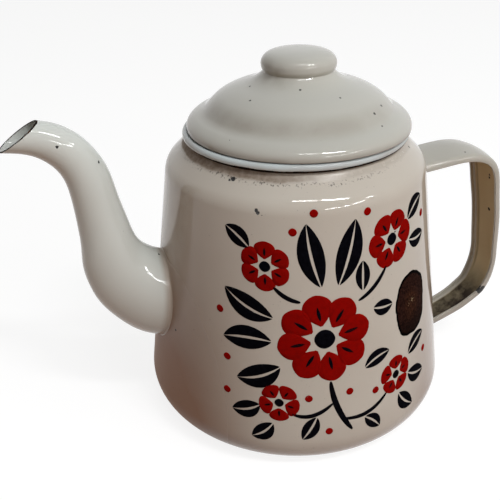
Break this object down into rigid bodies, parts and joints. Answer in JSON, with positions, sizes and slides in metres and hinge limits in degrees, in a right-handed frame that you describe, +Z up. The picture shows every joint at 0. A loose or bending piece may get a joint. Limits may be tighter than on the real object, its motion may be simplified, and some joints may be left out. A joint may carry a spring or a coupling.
{
  "type": "teapot",
  "caption": "Tapered enamelled teapot with a tall swan-neck spout, a bent channel handle and a lift-off domed lid with a flat ball knob.",
  "frame": {"origin": "middle of the flat bottom of the pot, on the surface it stands on", "axes": "+Z up along the pot's axis, +X towards the handle, -X towards the spout, +Y across"},
  "size_m": [0.2216, 0.136, 0.1595],
  "materials": {
    "pot_enamel": "gloss cream enamel on steel",
    "lid_enamel": "gloss cream enamel on steel"
  },
  "bodies": {
    "pot": {"body_shell": "pot_enamel", "base_pan": "pot_enamel", "spout_left_half": "pot_enamel", "spout_right_half": "pot_enamel", "handle_strap": "pot_enamel"},
    "lid": {"lid_dome": "lid_enamel", "lid_collar": "lid_enamel", "knob": "lid_enamel"}
  },
  "joints": [
    {"name": "lid_lift", "type": "slide", "parent": "pot", "child": "lid", "axis": [0, 0, 1], "range_m": [0, 0.06]}
  ]
}
